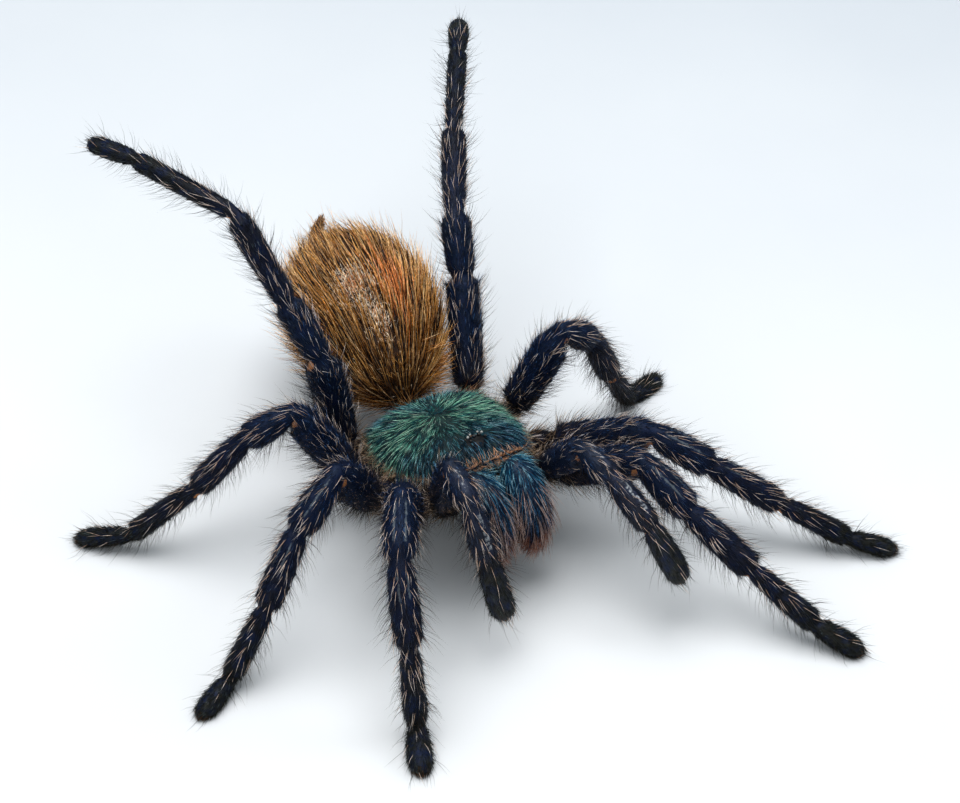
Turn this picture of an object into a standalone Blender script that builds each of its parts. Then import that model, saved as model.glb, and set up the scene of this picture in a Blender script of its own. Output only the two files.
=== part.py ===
"""A tarantula specimen, set dry in a standing pose: six legs on the surface, the hind pair raised.

Lengths are in millimetres and angles in degrees until the meshes are made. The head points along -Y, the
specimen's left side is +X, and the surface that it stands on is z = 0.
"""

import math

import bmesh
import bpy
from mathutils import Vector

MM = 0.001

# The middle of the carapace, how far its front is tipped up, and how far it is turned to the left.
BODY_CENTRE = Vector((-0.9, -4.0, 13.7))
BODY_PITCH = 10.0
BODY_YAW = 4.0

# Carapace: half of its outline, as (to the side, forward), from the front edge to the rear edge.
CARAPACE_OUTLINE = [
    (0.0, 12.2), (4.2, 12.0), (6.3, 10.7), (8.0, 7.8), (9.2, 4.2), (9.9, 0.0), (9.8, -3.8), (8.6, -7.6),
    (5.0, -10.0), (0.0, -10.6),
]
# Height of the rim and of the crown above the body's middle, each at the rear and at the head.
RIM_HEIGHTS = (-0.6, 2.5)
# The rim's front edge is arched: how much lower it is at this distance to the side.
RIM_ARCH = 1.2
RIM_ARCH_HALF_WIDTH = 6.3
CROWN_HEIGHTS = (3.1, 4.3)
RIM_THICKNESS = 0.6
FOVEA_FORWARD = -3.0
FOVEA_DEPTH = 0.7
GROOVE_DEPTH = 0.35
TUBERCLE_FORWARD = 8.9
TUBERCLE_RADIUS = 1.5
TUBERCLE_HEIGHT = 1.0
STERNUM_HALF_WIDTH = 4.4
STERNUM_HALF_LENGTH = 8.4
STERNUM_DEPTH = -6.4
CARAPACE_SIDES = 40
CARAPACE_MIDDLE = Vector((0.0, 0.3))
CARAPACE_SHARES = (0.12, 0.26, 0.4, 0.54, 0.66, 0.76, 0.85, 0.93, 1.0)
# Direction of the first groove from the fovea, in degrees, and how many repeat round it.
FIRST_GROOVE = 38
GROOVES_ROUND = 5.0

# Abdomen, with the narrow waist that joins it to the carapace.
ABDOMEN_CENTRE = Vector((-0.2, 26.9, 2.2))
ABDOMEN_LENGTH = 29.0
ABDOMEN_RISE = 10.0
ABDOMEN_HALF_WIDTH = 10.1
ABDOMEN_HALF_HEIGHT = 9.5
ABDOMEN_SIDES = 24
ABDOMEN_RINGS = 14
ABDOMEN_DROOP = 3.0
WAIST_RADIUS = 1.2
WAIST_START = Vector((-0.6, 9.0, -5.8))

# Long spinnerets: root, direction and the girth of their three articles.
SPINNERET_LENGTH = 4.2
SPINNERET_RADIUS = 0.85
SPINNERETS = {
    "spinneret_right": (Vector((-1.6, 41.5, 6.35)), Vector((0.65, 0.65, 0.4))),
    "spinneret_left": (Vector((1.4, 41.9, 4.2)), Vector((0.5, 0.85, -0.15))),
}

# Jaw (chelicera), from the carapace to its tip: (to the side, forward, up, half width, half height).
JAW_STATIONS = [
    (2.8, 12.7, -0.4, 2.0, 2.3),
    (3.0, 13.3, -0.3, 2.6, 3.0),
    (3.1, 14.9, -0.7, 2.85, 3.5),
    (3.1, 16.4, -2.4, 2.9, 3.5),
    (3.1, 17.1, -4.8, 2.8, 3.2),
    (3.1, 17.1, -7.2, 2.4, 2.6),
    (2.9, 16.9, -9.1, 1.7, 1.8),
    (2.9, 16.6, -10.1, 0.8, 0.9),
]
# Fang: folded back under the jaw, from root to point, with its radius.
FANG_STATIONS = [
    (2.9, 13.8, -8.2, 0.95),
    (2.8, 13.5, -9.7, 0.9),
    (2.7, 12.4, -10.8, 0.75),
    (2.6, 10.9, -11.1, 0.5),
    (2.5, 9.5, -10.7, 0.2),
]

# Inner end of each coxa, beside the sternum, on the left side.
COXAE = {
    "pedipalp": (3.7, 8.6, -4.9),
    "leg_1": (4.9, 4.7, -4.7),
    "leg_2": (5.3, 0.9, -4.7),
    "leg_3": (5.2, -3.3, -4.7),
    "leg_4": (4.2, -7.3, -4.7),
}
COXA_HALF_WIDTH = 1.8
COXA_HALF_HEIGHT = 2.1

# Femur, patella, tibia, metatarsus and tarsus. A pedipalp has no metatarsus. The third leg is longer on the
# right than on the left.
SEGMENT_LENGTHS = {
    "pedipalp": (10.5, 6.5, 8.5, 9.0),
    "leg_1": (16.0, 9.5, 12.0, 11.5, 7.5),
    "leg_2": (16.0, 9.5, 11.5, 11.0, 7.0),
    "leg_3_right": (15.0, 8.0, 10.5, 12.5, 8.5),
    "leg_3_left": (15.0, 7.5, 10.0, 10.0, 7.0),
    "leg_4": (17.5, 9.5, 14.5, 17.0, 8.0),
}
SEGMENT_HALF_WIDTHS = {
    "pedipalp": (2.3, 2.15, 2.0, 2.1),
    "leg_1": (2.6, 2.5, 2.2, 1.8, 1.85),
    "leg_2": (2.6, 2.4, 2.1, 1.75, 1.7),
    "leg_3": (2.6, 2.3, 2.0, 1.7, 1.7),
    "leg_4": (2.6, 2.35, 2.0, 1.6, 1.7),
}
# Height over width of each segment; a pedipalp takes the first three and the last.
SEGMENT_HEIGHTS = (1.08, 1.0, 1.0, 0.95, 0.8)

# How each limb is set: where its coxa ends and its femur starts, as (outwards, forward, up) on the body, then
# the heading of each segment, anticlockwise from +X seen from above, and the lift of each. A standing leg has
# no lift for its tarsus, which comes down to the surface.
LIMB_POSES = {
    "leg_1_right": ((11.9, 8.5, -3.7), (-119, -118, -108, -104, -111), (52, -18, -42, -71)),
    "leg_2_right": ((13.8, 2.1, -3.7), (-145, -158, -150, -159, -150), (53, -33, -45, -47)),
    "leg_3_right": ((12.8, -5.5, -4.1), (159, 170, 171, 160, 142), (57, -24, -44, -39)),
    "leg_4_right": ((10.8, -11.5, -4.4), (135, 116, 116, 124, 120), (79, 52, 53, 12, -3)),
    "leg_1_left": ((12.0, 9.8, -5.6), (-59, -66, -62, -60, -51), (31, -28, -27, -26)),
    "leg_2_left": ((15.1, 3.7, -5.1), (-46, -47, -43, -41, -32), (21, -21, -25, -23)),
    "leg_3_left": ((13.2, -4.3, -3.0), (-11, 12, 11, 26, 21), (61, -37, -68, -58)),
    "leg_4_left": ((10.4, -12.0, -3.4), (69, 73, 64, 61, 62), (55, 48, 20, 7, -1)),
    "pedipalp_right": ((8.0, 11.9, -1.8), (-91, -93, -79, -78), (71, -15, -63, -63)),
    "pedipalp_left": ((8.6, 12.3, -2.5), (-68, -79, -68, -65), (48, -8, -35, -50)),
}
LIMB_SIDES = 12
# Height of a standing foot's middle: less than its half height, so that its sole is flat on the surface.
FOOT_HEIGHT = 0.6

# Girth of a segment along its length, as a share of its half width, and of the waist at each joint.
SEGMENT_GIRTHS = ((0.35, 1.0), (0.7, 1.0))
INNER_END_GIRTH = 0.75
NEAR_JOINT_GIRTH = 0.95
JOINT_GIRTH = 0.8
JOINT_CLEARANCE = 1.0
# How much of a segment's height counts for the clearance, and the least distance between two rings.
CLEARANCE_SHARE = 0.9
RING_SPACING = 0.8
COXA_FIRST_RING = 0.7
# The rounded end of the last segment: distance back from its tip, and girth.
TIP_GIRTHS = ((2.0, 1.0), (0.9, 0.88), (0.25, 0.6), (0.0, 0.3))

# Colour, roughness and metallic value of each finish.
FINISHES = {
    "carapace": ((0.01, 0.10, 0.09, 1.0), 0.45, 0.2),
    "abdomen": ((0.36, 0.12, 0.02, 1.0), 0.75, 0.0),
    "limb": ((0.008, 0.012, 0.03, 1.0), 0.5, 0.1),
    "jaw": ((0.008, 0.03, 0.07, 1.0), 0.45, 0.1),
    "fang": ((0.01, 0.006, 0.005, 1.0), 0.2, 0.0),
}


def direction(heading, lift):
    """Unit vector with this heading and lift."""
    h, s = math.radians(heading), math.radians(lift)
    return Vector((math.cos(h) * math.cos(s), math.sin(h) * math.cos(s), math.sin(s)))


def on_body(point, side=1):
    """A point given as (to the side, forward, up) from the carapace's middle, in the specimen's frame."""
    pitch, yaw = math.radians(BODY_PITCH), math.radians(BODY_YAW)
    left = Vector((math.cos(yaw), math.sin(yaw), 0.0))
    forward = Vector((math.sin(yaw) * math.cos(pitch), -math.cos(yaw) * math.cos(pitch), math.sin(pitch)))
    return BODY_CENTRE + side * point[0] * left + point[1] * forward + point[2] * left.cross(forward) * -1


def smooth_curve(points, count):
    """Points spread evenly in parameter on a Catmull-Rom curve through these 2D points."""
    ends = [(-points[1][0], points[1][1]), *points, (-points[-2][0], points[-2][1])]
    curve = []
    for i in range(count + 1):
        along = i / count * (len(points) - 1)
        k = min(int(along), len(points) - 2)
        t = along - k
        a, b, c, d = (Vector(p) for p in ends[k:k + 4])
        curve.append(0.5 * (2 * b + (c - a) * t + (2 * a - 5 * b + 4 * c - d) * t * t + (3 * b - a - 3 * c + d) * t ** 3))
    return curve


def close_rings(bm, rings):
    """Joins rings of points into one closed surface. A ring of one point is a pole."""
    rows = [[bm.verts.new(p * MM) for p in ring] for ring in rings]
    for lower, upper in zip(rows, rows[1:]):
        sides = max(len(lower), len(upper))
        for i in range(sides):
            j = (i + 1) % sides
            if len(lower) == 1:
                bm.faces.new((lower[0], upper[i], upper[j]))
            elif len(upper) == 1:
                bm.faces.new((lower[i], upper[0], lower[j]))
            else:
                bm.faces.new((lower[i], upper[i], upper[j], lower[j]))
    for row in (rows[0], rows[-1]):
        if len(row) > 1:
            bm.faces.new(row)
    bmesh.ops.recalc_face_normals(bm, faces=bm.faces[:])


def cut_flat_sole(bm):
    """Cuts the mesh off flat at the surface that it stands on."""
    everything = bm.verts[:] + bm.edges[:] + bm.faces[:]
    cut = bmesh.ops.bisect_plane(bm, geom=everything, plane_co=(0, 0, 0), plane_no=(0, 0, 1), clear_inner=True)
    rim = [e for e in cut["geom_cut"] if isinstance(e, bmesh.types.BMEdge)]
    bmesh.ops.edgeloop_fill(bm, edges=rim)
    bmesh.ops.recalc_face_normals(bm, faces=bm.faces[:])


def make_object(name, bm, finish):
    """Turns the bmesh into a named, smooth shaded object with its own material."""
    mesh = bpy.data.meshes.new(name)
    bm.to_mesh(mesh)
    bm.free()
    mesh.shade_smooth()
    mesh.set_sharp_from_angle(angle=math.radians(50))
    obj = bpy.data.objects.new(name, mesh)
    bpy.context.scene.collection.objects.link(obj)
    material = bpy.data.materials.new(name)
    material.use_nodes = True
    shader = material.node_tree.nodes["Principled BSDF"]
    colour, roughness, metallic = FINISHES[finish]
    shader.inputs["Base Color"].default_value = colour
    shader.inputs["Roughness"].default_value = roughness
    shader.inputs["Metallic"].default_value = metallic
    mesh.materials.append(material)
    return obj


def ring_across(centre, along, half_width, half_height, sides):
    """An oval of points across a direction, its width level and its height square to both."""
    heading = math.atan2(along.y, along.x)
    level = Vector((-math.sin(heading), math.cos(heading), 0.0))
    upright = along.cross(level).normalized()
    ring = []
    for i in range(sides):
        turn = 2 * math.pi * i / sides
        ring.append(centre + level * half_width * math.cos(turn) + upright * half_height * math.sin(turn))
    return ring


def tube_rings(stations, sides):
    """Rings for stations of (centre, direction, half width, half height)."""
    return [ring_across(centre, along, width, height, sides) for centre, along, width, height in stations]


def limb_joints(name, base, headings, lifts):
    """The ends of the coxa and of each segment, from the body to the tip."""
    kind, side = name.rsplit("_", 1)
    lengths = SEGMENT_LENGTHS.get(name) or SEGMENT_LENGTHS[kind]
    joints = [on_body(end, 1 if side == "left" else -1) for end in (COXAE[kind], base)]
    for length, heading, lift in zip(lengths, headings, lifts):
        joints.append(joints[-1] + length * direction(heading, lift))
    if len(lifts) < len(headings):
        lift = math.degrees(math.asin((FOOT_HEIGHT - joints[-1].z) / lengths[-1]))
        joints.append(joints[-1] + lengths[-1] * direction(headings[-1], lift))
    return joints


def limb_sizes(kind):
    """(half width, half height) of the coxa and of each segment."""
    widths = SEGMENT_HALF_WIDTHS[kind]
    heights = SEGMENT_HEIGHTS[:len(widths) - 1] + SEGMENT_HEIGHTS[-1:]
    return [(COXA_HALF_WIDTH, COXA_HALF_HEIGHT)] + [(w, w * h) for w, h in zip(widths, heights)]


def limb_stations(joints, sizes):
    """Stations along a limb: each segment swells between narrow joints and ends in a rounded tip."""
    runs = [(b - a).normalized() for a, b in zip(joints, joints[1:])]
    stations = [(joints[0], runs[0], INNER_END_GIRTH * sizes[0][0], INNER_END_GIRTH * sizes[0][1])]
    for k, (start, end) in enumerate(zip(joints, joints[1:])):
        run, length = runs[k], (end - start).length
        width, height = sizes[k]

        def clearance(other):
            """How far from a joint the first full ring can stand without crossing the joint's ring."""
            return JOINT_CLEARANCE + CLEARANCE_SHARE * height * math.tan(run.angle(other) / 2)

        first = COXA_FIRST_RING if k == 0 else clearance(runs[k - 1])
        stations.append((start + run * first, run, NEAR_JOINT_GIRTH * width, NEAR_JOINT_GIRTH * height))
        last_segment = k == len(runs) - 1
        back = TIP_GIRTHS[0][0] if last_segment else clearance(runs[k + 1])
        for share, girth in SEGMENT_GIRTHS:
            if first + RING_SPACING < share * length < length - back - RING_SPACING:
                stations.append((start + run * share * length, run, girth * width, girth * height))
        if last_segment:
            for distance, girth in TIP_GIRTHS:
                stations.append((end - run * distance, run, girth * width, girth * height))
            continue
        stations.append((end - run * back, run, width, height))
        waist = JOINT_GIRTH * min(width, sizes[k + 1][0]), JOINT_GIRTH * min(height, sizes[k + 1][1])
        stations.append((end, (run + runs[k + 1]).normalized(), *waist))
    return stations


def make_limb(name, base, headings, lifts):
    """A leg or a pedipalp. One that stands on the surface gets a flat sole."""
    joints = limb_joints(name, base, headings, lifts)
    sizes = limb_sizes(name.rsplit("_", 1)[0])
    bm = bmesh.new()
    close_rings(bm, tube_rings(limb_stations(joints, sizes), LIMB_SIDES))
    if len(lifts) < len(headings):
        cut_flat_sole(bm)
    make_object(name, bm, "limb")


def head_share(forward):
    """How much of the head's height applies here: 0 at the rear of the carapace and 1 at its front."""
    t = min(1.0, max(0.0, (forward - 1.0) / 10.0))
    return t * t * (3 - 2 * t)


def rim_height(across, forward):
    raised = RIM_HEIGHTS[1] - RIM_HEIGHTS[0] - RIM_ARCH * min(1.0, (across / RIM_ARCH_HALF_WIDTH) ** 4)
    return RIM_HEIGHTS[0] + raised * head_share(forward)


def carapace_top(across, forward, share):
    """Height of the carapace's upper face: a dome with a raised head, a fovea, radial grooves and an eye mound.

    share runs from 0 in the middle to 1 at the rim.
    """
    rim = rim_height(across, forward)
    crown = CROWN_HEIGHTS[0] + (CROWN_HEIGHTS[1] - CROWN_HEIGHTS[0]) * head_share(forward + 3.0)
    height = rim + (crown - rim) * (1 - share ** 2.4) ** 0.7
    fovea = math.hypot(across / 1.6, (forward - FOVEA_FORWARD) / 0.7)
    height -= FOVEA_DEPTH * math.exp(-fovea * fovea)
    out = math.hypot(across, forward - FOVEA_FORWARD)
    turn = math.atan2(abs(across), forward - FOVEA_FORWARD)
    groove = max(0.0, math.cos(GROOVES_ROUND * (turn - math.radians(FIRST_GROOVE)))) ** 6
    height -= GROOVE_DEPTH * groove * math.sin(math.pi * min(1.0, out / 10.0)) * (1 - share ** 6)
    mound = math.hypot(across / 1.25, forward - TUBERCLE_FORWARD) / TUBERCLE_RADIUS
    return height + TUBERCLE_HEIGHT * math.exp(-(mound ** 3))


def make_cephalothorax():
    """The carapace with the body and sternum under it, which the coxae stand round."""
    half = smooth_curve(CARAPACE_OUTLINE, CARAPACE_SIDES // 2)
    outline = half + [Vector((-p.x, p.y)) for p in half[-2:0:-1]]
    middle = CARAPACE_MIDDLE

    def plan(share):
        return [middle + (p - middle) * share for p in outline]

    rings = [[on_body((middle.x, middle.y, carapace_top(middle.x, middle.y, 0.0)))]]
    for share in CARAPACE_SHARES:
        rings.append([on_body((p.x, p.y, carapace_top(p.x, p.y, share))) for p in plan(share)])
    rings.append([on_body((p.x, p.y, rim_height(p.x, p.y) - RIM_THICKNESS)) for p in plan(0.985)])

    def sternum(share, height):
        ring = []
        for p in outline:
            turn = math.atan2(p.y, p.x)
            reach = 1 / math.hypot(math.cos(turn) / STERNUM_HALF_WIDTH, math.sin(turn) / STERNUM_HALF_LENGTH)
            ring.append(on_body((share * reach * math.cos(turn), share * reach * math.sin(turn), height)))
        return ring

    rings.append(sternum(1.0, RIM_HEIGHTS[0] - RIM_THICKNESS - 0.5))
    rings.append(sternum(0.95, STERNUM_DEPTH + 0.8))
    rings.append(sternum(0.75, STERNUM_DEPTH))
    rings.append([on_body((0.0, 0.0, STERNUM_DEPTH - 0.2))])
    bm = bmesh.new()
    close_rings(bm, rings)
    make_object("cephalothorax", bm, "carapace")


def make_abdomen():
    """An egg shaped abdomen on a short waist."""
    axis = direction(90, ABDOMEN_RISE)
    centre = BODY_CENTRE + ABDOMEN_CENTRE
    nose = centre - axis * ABDOMEN_LENGTH / 2
    root = BODY_CENTRE + WAIST_START
    stations = [(root, direction(90, 30), WAIST_RADIUS, WAIST_RADIUS)]
    for i in range(1, ABDOMEN_RINGS + 1):
        share = (1 - math.cos(math.pi * i / (ABDOMEN_RINGS + 1))) / 2
        out = abs(2 * share - 1)
        girth = (1 - out ** 2.2) ** 0.52 * (0.94 + 0.12 * math.sin(math.pi * share * 0.9))
        width, height = ABDOMEN_HALF_WIDTH * girth, ABDOMEN_HALF_HEIGHT * girth
        droop = Vector((0.0, 0.0, ABDOMEN_DROOP * (1 - share) ** 8))
        stations.append((nose + axis * ABDOMEN_LENGTH * share - droop, axis, width, height))
    rings = tube_rings(stations, ABDOMEN_SIDES)
    rings.append([centre + axis * ABDOMEN_LENGTH / 2])
    bm = bmesh.new()
    close_rings(bm, rings)
    make_object("abdomen", bm, "abdomen")


def make_spinneret(name, root, along):
    """A finger of three articles at the end of the abdomen."""
    along = along.normalized()
    start = BODY_CENTRE + root
    girths = ((0.0, 0.9), (0.3, 1.0), (0.36, 0.86), (0.42, 0.95), (0.66, 0.85), (0.72, 0.7), (0.9, 0.6), (1.0, 0.25))
    stations = []
    for share, girth in girths:
        radius = SPINNERET_RADIUS * girth
        stations.append((start + along * SPINNERET_LENGTH * share, along, radius, radius))
    bm = bmesh.new()
    close_rings(bm, tube_rings(stations, 8))
    make_object(name, bm, "abdomen")


def make_body_tube(name, side, stations, sides, finish):
    """A tube given on the body as (to the side, forward, up, half width, half height)."""
    centres = [on_body(s[:3], side) for s in stations]
    placed = []
    for i, station in enumerate(stations):
        along = (centres[min(i + 1, len(centres) - 1)] - centres[max(i - 1, 0)]).normalized()
        placed.append((centres[i], along, station[3], station[-1]))
    bm = bmesh.new()
    close_rings(bm, tube_rings(placed, sides))
    make_object(name, bm, finish)


def main():
    for obj in list(bpy.data.objects):
        bpy.data.objects.remove(obj)
    make_cephalothorax()
    make_abdomen()
    for name, (root, along) in SPINNERETS.items():
        make_spinneret(name, root, along)
    for side_name, side in (("left", 1), ("right", -1)):
        make_body_tube("jaw_" + side_name, side, JAW_STATIONS, 14, "jaw")
        make_body_tube("fang_" + side_name, side, FANG_STATIONS, 8, "fang")
    for name, pose in LIMB_POSES.items():
        make_limb(name, *pose)


main()
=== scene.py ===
"""The looks of a dry tarantula specimen, dressed around its frame: skins, hair, floor, light and camera.

Lengths are in millimetres and angles in degrees until the meshes are made. The head points along -Y, the
specimen's left side is +X, and the floor is z = 0.
"""

from math import acos, asin, ceil, cos, degrees, pi, radians, sin, tan

import bpy
import numpy as np
from mathutils import Matrix, Vector


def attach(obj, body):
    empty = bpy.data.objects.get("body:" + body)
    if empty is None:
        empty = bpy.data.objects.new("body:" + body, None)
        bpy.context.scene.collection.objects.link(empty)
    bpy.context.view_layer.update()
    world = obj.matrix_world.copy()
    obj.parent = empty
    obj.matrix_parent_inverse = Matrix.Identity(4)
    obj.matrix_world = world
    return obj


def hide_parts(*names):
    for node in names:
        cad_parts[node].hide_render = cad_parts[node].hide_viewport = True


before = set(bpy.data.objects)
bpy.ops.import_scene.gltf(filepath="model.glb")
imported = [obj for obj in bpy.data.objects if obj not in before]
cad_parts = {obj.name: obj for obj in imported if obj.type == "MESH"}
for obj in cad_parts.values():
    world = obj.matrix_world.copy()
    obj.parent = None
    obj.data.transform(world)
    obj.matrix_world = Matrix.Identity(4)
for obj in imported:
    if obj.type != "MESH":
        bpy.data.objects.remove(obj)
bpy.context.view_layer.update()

MM = 0.001
SEED = 11
# The lowest that any skin or hair comes to the floor.
FLOOR_GAP = 0.03

# The middle of the carapace, how far its front is tipped up, and how far it is turned to the left.
BODY_CENTRE = np.array((-0.9, -4.0, 13.7))
BODY_PITCH = 10.0
BODY_YAW = 4.0

# Carapace: half of its outline, as (to the side, forward), from the front edge to the rear edge.
CARAPACE_OUTLINE = [
    (0.0, 12.2), (4.2, 12.0), (6.3, 10.7), (8.0, 7.8), (9.2, 4.2), (9.9, 0.0), (9.8, -3.8), (8.6, -7.6),
    (5.0, -10.0), (0.0, -10.6),
]
CARAPACE_SIDES = 96
CARAPACE_RINGS = 34
CARAPACE_MIDDLE = np.array((0.0, 0.3))
RIM_HEIGHTS = (-0.6, 2.5)
RIM_ARCH = 1.2
RIM_ARCH_HALF_WIDTH = 6.3
CROWN_HEIGHTS = (3.1, 4.3)
FOVEA_FORWARD = -3.0
FOVEA_DEPTH = 0.6
GROOVE_DEPTH = 0.45
TUBERCLE_FORWARD = 8.9
TUBERCLE_RADIUS = 1.5
TUBERCLE_HEIGHT = 1.0
STERNUM_HALF_WIDTH = 4.4
STERNUM_HALF_LENGTH = 8.4
STERNUM_DEPTH = -6.4
# Reach of the rim and of the first ring under the body: the top comes before them, the sternum after.
RIM_REACH = 0.6
UNDER_REACH = 0.72
# Eyes on the mound on one side: (to the side, forward of the mound's middle, radius, pale). Pale eyes are
# painted glints.
EYES = [
    (0.4, 0.3, 0.3, 0),
    (1.15, 0.7, 0.24, 0),
    (1.12, -0.2, 0.21, 1),
    (0.62, -0.5, 0.16, 1),
]

# Abdomen, with the narrow waist that joins it to the carapace.
ABDOMEN_CENTRE = np.array((-0.2, 26.9, 2.2))
ABDOMEN_LENGTH = 29.0
ABDOMEN_RISE = 10.0
ABDOMEN_HALF_WIDTH = 10.1
ABDOMEN_HALF_HEIGHT = 9.5
ABDOMEN_DROOP = 3.0
WAIST_RADIUS = 1.2
WAIST_START = np.array((-0.6, 9.0, -5.8))

# Long spinnerets: root and direction, and the girth of their three articles along their length.
SPINNERET_LENGTH = 4.2
SPINNERET_RADIUS = 0.85
SPINNERETS = {
    "spinneret_right": ((-1.6, 41.5, 6.35), (0.65, 0.65, 0.4)),
    "spinneret_left": ((1.4, 41.9, 4.2), (0.5, 0.85, -0.15)),
}
SPINNERET_GIRTHS = (
    (0.0, 0.9), (0.3, 1.0), (0.36, 0.86), (0.42, 0.95), (0.66, 0.85), (0.72, 0.7), (0.9, 0.6), (1.0, 0.25),
)

# Jaw, from the carapace to its tip: (to the side, forward, up, half width, half height).
JAW_STATIONS = [
    (2.8, 12.7, -0.4, 2.0, 2.3),
    (3.0, 13.3, -0.3, 2.6, 3.0),
    (3.1, 14.9, -0.7, 2.85, 3.5),
    (3.1, 16.4, -2.4, 2.9, 3.5),
    (3.1, 17.1, -4.8, 2.8, 3.2),
    (3.1, 17.1, -7.2, 2.4, 2.6),
    (2.9, 16.9, -9.1, 1.7, 1.8),
    (2.9, 16.6, -10.1, 0.8, 0.9),
]
# Fang: folded back under the jaw, from root to point, with its radius.
FANG_STATIONS = [
    (2.9, 13.8, -8.2, 0.95),
    (2.8, 13.5, -9.7, 0.9),
    (2.7, 12.4, -10.8, 0.75),
    (2.6, 10.9, -11.1, 0.5),
    (2.5, 9.5, -10.7, 0.2),
]

# Inner end of each coxa, beside the sternum, on the left side.
COXAE = {
    "pedipalp": (3.7, 8.6, -4.9),
    "leg_1": (4.9, 4.7, -4.7),
    "leg_2": (5.3, 0.9, -4.7),
    "leg_3": (5.2, -3.3, -4.7),
    "leg_4": (4.2, -7.3, -4.7),
}
COXA_HALF_WIDTH = 1.8
COXA_HALF_HEIGHT = 2.1
SEGMENT_LENGTHS = {
    "pedipalp": (10.5, 6.5, 8.5, 9.0),
    "leg_1": (16.0, 9.5, 12.0, 11.5, 7.5),
    "leg_2": (16.0, 9.5, 11.5, 11.0, 7.0),
    "leg_3_right": (15.0, 8.0, 10.5, 12.5, 8.5),
    "leg_3_left": (15.0, 7.5, 10.0, 10.0, 7.0),
    "leg_4": (17.5, 9.5, 14.5, 17.0, 8.0),
}
SEGMENT_HALF_WIDTHS = {
    "pedipalp": (2.3, 2.15, 2.0, 2.1),
    "leg_1": (2.6, 2.5, 2.2, 1.8, 1.85),
    "leg_2": (2.6, 2.4, 2.1, 1.75, 1.7),
    "leg_3": (2.6, 2.3, 2.0, 1.7, 1.7),
    "leg_4": (2.6, 2.35, 2.0, 1.6, 1.7),
}
SEGMENT_HEIGHTS = (1.08, 1.0, 1.0, 0.95, 0.8)
# Femur base on the body, headings and lifts of the segments. A standing leg's tarsus comes down to the floor.
LIMB_POSES = {
    "leg_1_right": ((11.9, 8.5, -3.7), (-119, -118, -108, -104, -111), (52, -18, -42, -71)),
    "leg_2_right": ((13.8, 2.1, -3.7), (-145, -158, -150, -159, -150), (53, -33, -45, -47)),
    "leg_3_right": ((12.8, -5.5, -4.1), (159, 170, 171, 160, 142), (57, -24, -44, -39)),
    "leg_4_right": ((10.8, -11.5, -4.4), (135, 116, 116, 124, 120), (79, 52, 53, 12, -3)),
    "leg_1_left": ((12.0, 9.8, -5.6), (-59, -66, -62, -60, -51), (31, -28, -27, -26)),
    "leg_2_left": ((15.1, 3.7, -5.1), (-46, -47, -43, -41, -32), (21, -21, -25, -23)),
    "leg_3_left": ((13.2, -4.3, -3.0), (-11, 12, 11, 26, 21), (61, -37, -68, -58)),
    "leg_4_left": ((10.4, -12.0, -3.4), (69, 73, 64, 61, 62), (55, 48, 20, 7, -1)),
    "pedipalp_right": ((8.0, 11.9, -1.8), (-91, -93, -79, -78), (71, -15, -63, -63)),
    "pedipalp_left": ((8.6, 12.3, -2.5), (-68, -79, -68, -65), (48, -8, -35, -50)),
}
FOOT_HEIGHT = 0.6
JOINT_GIRTH = 0.76
JOINT_CLEARANCE = 1.0
# Skins lie this far inside the solids, so that the short hair on them reaches the solids' surface.
LIMB_INSET = 0.25
BODY_INSET = 0.3
# Place of each segment on a common scale, so that a pedipalp's last segment is a tarsus too.
PALP_SEGMENTS = (0, 1, 2, 3, 5)
# Zones along a limb run from 0 at the coxa to 1 at the claws, a sixth for each segment.
SEGMENTS = 6.0
STATION_SPACING = 0.55
LIMB_SIDES = 36
ABDOMEN_SIDES = 72
ABDOMEN_RINGS = 60
JAW_SIDES = 32
FANG_SIDES = 20
EYE_SIDES = 12
EYE_STEPS = 8

# How deep a hair's root lies in the skin, how much the lift of single hairs varies, and a hair's taper.
ROOT_DEPTH = 0.08
LIFT_JITTER = 7.0
TAPER = 0.6
# A pedipalp has this share of a leg's hair.
PALP_SHARE = 0.55

# Layers of hair: how many, length, radius, lift at root and tip, spread of single hairs and of tufts, rings,
# and the number of the material in the piece's list.
LIMB_HAIR = {
    "pile": (5200, 1.05, 0.05, (20, 8), 9, 7, 1, 1),
    "long pile": (1500, 1.9, 0.035, (34, 20), 12, 9, 1, 1),
    "pale": (330, 2.7, 0.047, (30, 4), 11, 10, 2, 3),
    "setae": (1000, 3.7, 0.026, (56, 30), 11, 6, 2, 2),
    "coxa": (300, 2.6, 0.045, (45, 20), 30, 20, 2, 4),
    "shaggy": (190, 2.9, 0.048, (52, 10), 18, 10, 3, 3),
    "pads": (1500, 0.75, 0.05, (45, 30), 12, 0, 1, 5),
}
CARAPACE_HAIR = {
    "pile": (8000, 1.0, 0.045, (14, 2), 8, 18, 1, 1),
    "strands": (4600, 2.4, 0.043, (16, 6), 6, 18, 2, 1),
    "fovea": (160, 1.0, 0.045, (35, 20), 60, 0, 1, 1),
    "rim": (1300, 2.3, 0.04, (26, -4), 26, 24, 2, 3),
    "rear": (520, 3.2, 0.05, (40, 24), 24, 20, 2, 2),
    "front": (560, 1.5, 0.055, (22, 2), 16, 14, 2, 2),
    "below": (900, 2.2, 0.05, (40, 10), 30, 20, 2, 3),
    "tuft": (34, 1.1, 0.05, (75, 55), 40, 0, 2, 2),
}
ABDOMEN_HAIR = {
    "pile": (6000, 2.0, 0.045, (18, 8), 9, 12, 1, 1),
    "dark": (2200, 3.8, 0.045, (24, 10), 8, 10, 3, 1),
    "gold": (4300, 5.8, 0.065, (17, 6), 5, 7, 3, 1),
    "side": (130, 4.4, 0.06, (54, 34), 16, 8, 3, 1),
    "bald": (1100, 0.8, 0.095, (30, 16), 30, 20, 2, 2),
    "stray": (420, 5.6, 0.04, (50, 30), 14, 0, 3, 1),
    "waist": (240, 2.6, 0.045, (24, 12), 20, 0, 2, 1),
}
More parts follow.
